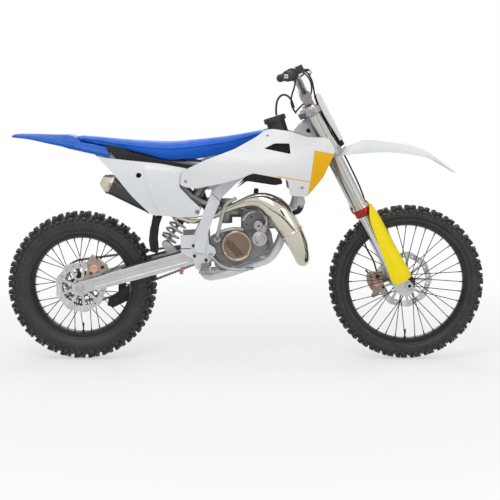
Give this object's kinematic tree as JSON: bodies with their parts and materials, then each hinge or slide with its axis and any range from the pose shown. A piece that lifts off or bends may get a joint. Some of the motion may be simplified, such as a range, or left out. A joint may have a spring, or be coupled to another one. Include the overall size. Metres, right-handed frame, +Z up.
{
  "type": "motocross bike",
  "caption": "Small two-stroke motocross bike with spoked knobby wheels, a long-travel fork, a loop exhaust, moulded side shrouds and a long flat seat.",
  "frame": {"origin": "the point of the seat where the rider sits, on the bike's mid-plane", "axes": "+X forward, +Y to the rider's left, +Z up"},
  "size_m": [1.895, 0.7614, 1.167],
  "materials": {
    "tyre_black": "matt, moulded",
    "rim_black": "satin black anodised",
    "hub_black": "satin black",
    "disc_steel": "ground stainless",
    "sprocket_steel": "machined",
    "chain_steel": "oiled",
    "frame_white": "gloss white",
    "swingarm_alloy": "cast and brushed",
    "axle_steel": "zinc plated",
    "guide_rubber": "matt",
    "bronze": "satin bronze",
    "engine_black": "satin cast",
    "cylinder_grey": "sand cast",
    "carburettor_alloy": "die cast",
    "exhaust_nickel": "nickel plated",
    "silencer_graphite": "anodised",
    "seat_blue": "ribbed cover",
    "fender_blue": "moulded",
    "plastic_white": "moulded",
    "plastic_black": "moulded",
    "guard_yellow": "moulded",
    "radiator_alloy": "brazed",
    "fork_silver": "anodised",
    "fork_leg": "cast",
    "clamp_grey": "anodised",
    "bar_white": "satin",
    "grip_rubber": "ribbed",
    "lever_black": "cast",
    "hose_rubber": "smooth",
    "spring_metal": "painted",
    "damper_steel": "machined",
    "peg_steel": "cast"
  },
  "bodies": {
    "chassis": {"drive_sprocket": "sprocket_steel", "chain": "chain_steel", "main_frame": "frame_white", "subframe": "frame_white", "swingarm": "swingarm_alloy", "rear_axle": "axle_steel", "chain_guides": "guide_rubber", "rear_caliper": "bronze", "clutch_cover": "bronze", "crankcase": "engine_black", "cylinder": "cylinder_grey", "carburettor": "carburettor_alloy", "exhaust_pipe": "exhaust_nickel", "silencer": "silencer_graphite", "seat": "seat_blue", "rear_fender": "fender_blue", "side_panels": "plastic_white", "radiator_shrouds": "plastic_white", "fuel_tank": "plastic_black", "radiators": "radiator_alloy", "airbox": "plastic_black", "shock_absorber": "damper_steel", "shock_spring": "spring_metal", "footpegs": "peg_steel", "foot_levers": "lever_black", "hoses": "hose_rubber"},
    "steering": {"fork_clamps": "clamp_grey", "fork_outer_tubes": "fork_silver", "fork_inner_legs": "fork_leg", "fork_guards": "guard_yellow", "front_fender": "plastic_white", "number_plate": "plastic_white", "handlebar": "bar_white", "grips": "grip_rubber", "hand_controls": "lever_black", "front_caliper": "bronze", "cables": "hose_rubber", "front_axle": "axle_steel"},
    "front_wheel": {"front_tyre": "tyre_black", "front_rim": "rim_black", "front_hub": "hub_black", "front_disc": "disc_steel"},
    "rear_wheel": {"rear_tyre": "tyre_black", "rear_rim": "rim_black", "rear_hub": "hub_black", "rear_disc": "disc_steel", "rear_sprocket": "sprocket_steel"}
  },
  "joints": [
    {"name": "steering", "type": "hinge", "parent": "chassis", "child": "steering", "pos_m": [0.8101, 0, -0.58242], "axis": [-0.454, 0, 0.891], "range_deg": [-42, 42]},
    {"name": "front_wheel_spin", "type": "hinge", "parent": "steering", "child": "front_wheel", "pos_m": [0.86, 0, -0.557], "axis": [0, 1, 0], "continuous": true},
    {"name": "rear_wheel_spin", "type": "hinge", "parent": "chassis", "child": "rear_wheel", "pos_m": [-0.43, 0, -0.569], "axis": [0, 1, 0], "continuous": true}
  ]
}
